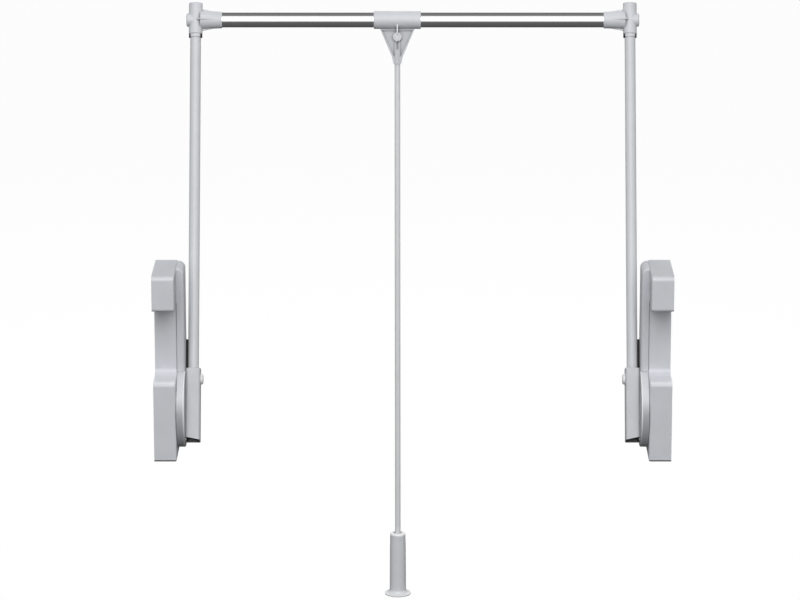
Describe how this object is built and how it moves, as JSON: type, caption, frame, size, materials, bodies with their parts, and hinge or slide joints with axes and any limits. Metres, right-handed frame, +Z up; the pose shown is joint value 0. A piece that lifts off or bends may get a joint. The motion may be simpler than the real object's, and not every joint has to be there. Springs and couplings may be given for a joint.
{
  "type": "pull down closet rod",
  "caption": "Pull down wardrobe rail: wall casings, spring-assisted swinging arms, telescoping chrome rail and a hanging pull rod with a flared handle.",
  "frame": {"origin": "on the left wall plate's wall face, on the arms' pivot axis", "axes": "+X along the pivot axis to the right housing, +Y to the back of the closet, +Z up"},
  "size_m": [0.854, 0.3209, 1.0422],
  "materials": {
    "grey_casing": "light grey fine satin moulding",
    "grey_hub": "light grey satin moulding",
    "grey_paint": "light silver grey powder coat, satin",
    "chrome_rail": "polished chrome plate",
    "bright_steel": "bright zinc plate",
    "steel_plate": "plain zinc plated steel",
    "spring_steel": "oiled spring steel",
    "bearing_bronze": "plain sintered bearing bronze",
    "black_plastic": "black satin moulding",
    "black_rubber": "matte black rubber"
  },
  "bodies": {
    "left_housing": {"left_wall_plate": "steel_plate", "left_casing": "grey_casing", "left_spine_cover": "grey_casing", "left_outer_bush": "bearing_bronze", "left_inner_bush": "bearing_bronze", "left_spring_anchor": "steel_plate", "left_damper_body": "black_plastic", "left_lift_spring": "spring_steel", "left_rack_guide": "black_plastic", "left_rest_stop": "black_rubber"},
    "left_rack_unit": {"left_rack": "steel_plate", "left_piston_rod": "bright_steel"},
    "left_frame": {"left_hub_disc": "grey_hub", "left_pivot_shaft": "bright_steel", "left_shaft_clip": "spring_steel", "left_pinion": "steel_plate", "left_arm_bracket": "grey_paint", "left_bracket_screws": "bright_steel", "left_arm_insert": "black_plastic", "left_arm_tube": "grey_paint", "left_arm_screw": "bright_steel", "left_connector": "grey_casing", "left_liner_bush": "black_plastic", "left_connector_cap": "grey_casing", "left_connector_screw": "bright_steel", "left_rail_tube": "chrome_rail", "inner_rail_tube": "bright_steel"},
    "pull_unit": {"sleeve": "grey_casing", "sleeve_screw": "grey_hub", "pull_rod": "grey_paint", "pull_handle": "grey_casing", "handle_plug": "black_plastic"},
    "right_housing": {"right_wall_plate": "steel_plate", "right_casing": "grey_casing", "right_spine_cover": "grey_casing", "right_outer_bush": "bearing_bronze", "right_inner_bush": "bearing_bronze", "right_spring_anchor": "steel_plate", "right_damper_body": "black_plastic", "right_lift_spring": "spring_steel", "right_rack_guide": "black_plastic", "right_rest_stop": "black_rubber"},
    "right_rack_unit": {"right_rack": "steel_plate", "right_piston_rod": "bright_steel"},
    "right_frame": {"right_hub_disc": "grey_hub", "right_pivot_shaft": "bright_steel", "right_shaft_clip": "spring_steel", "right_pinion": "steel_plate", "right_arm_bracket": "grey_paint", "right_bracket_screws": "bright_steel", "right_arm_insert": "black_plastic", "right_arm_tube": "grey_paint", "right_arm_screw": "bright_steel", "right_connector": "grey_casing", "right_liner_bush": "black_plastic", "right_connector_cap": "grey_casing", "right_connector_screw": "bright_steel", "right_rail_tube": "chrome_rail"}
  },
  "joints": [
    {"name": "width_slide", "type": "slide", "parent": "left_housing", "child": "right_housing", "axis": [1, 0, 0], "range_m": [0, 0.29]},
    {"name": "left_pivot", "type": "hinge", "parent": "left_housing", "child": "left_frame", "pos_m": [0, 0, 0], "axis": [1, 0, 0], "range_deg": [0, 115], "stiffness_Nm_per_rad": 4, "springref_deg": -28.65},
    {"name": "right_pivot", "type": "hinge", "parent": "right_housing", "child": "right_frame", "pos_m": [0.854, 0, 0], "axis": [1, 0, 0], "range_deg": [0, 115], "stiffness_Nm_per_rad": 4, "springref_deg": -28.65},
    {"name": "pull_rod_swivel", "type": "hinge", "parent": "left_frame", "child": "pull_unit", "pos_m": [0.401, 0.23046, 0.61312], "axis": [1, 0, 0], "range_deg": [-150, 30]},
    {"name": "left_rack_slide", "type": "slide", "parent": "left_housing", "child": "left_rack_unit", "axis": [0, 0, 1], "range_m": [0, 0.0282], "deforming": ["left_lift_spring"]},
    {"name": "right_rack_slide", "type": "slide", "parent": "right_housing", "child": "right_rack_unit", "axis": [0, 0, 1], "range_m": [0, 0.0282], "deforming": ["right_lift_spring"]}
  ],
  "couplings": [
    {"joint": "right_pivot", "follows": "left_pivot", "ratio": 1},
    {"joint": "left_rack_slide", "follows": "left_pivot", "m_per_rad": 0.014},
    {"joint": "right_rack_slide", "follows": "left_pivot", "m_per_rad": 0.014}
  ]
}
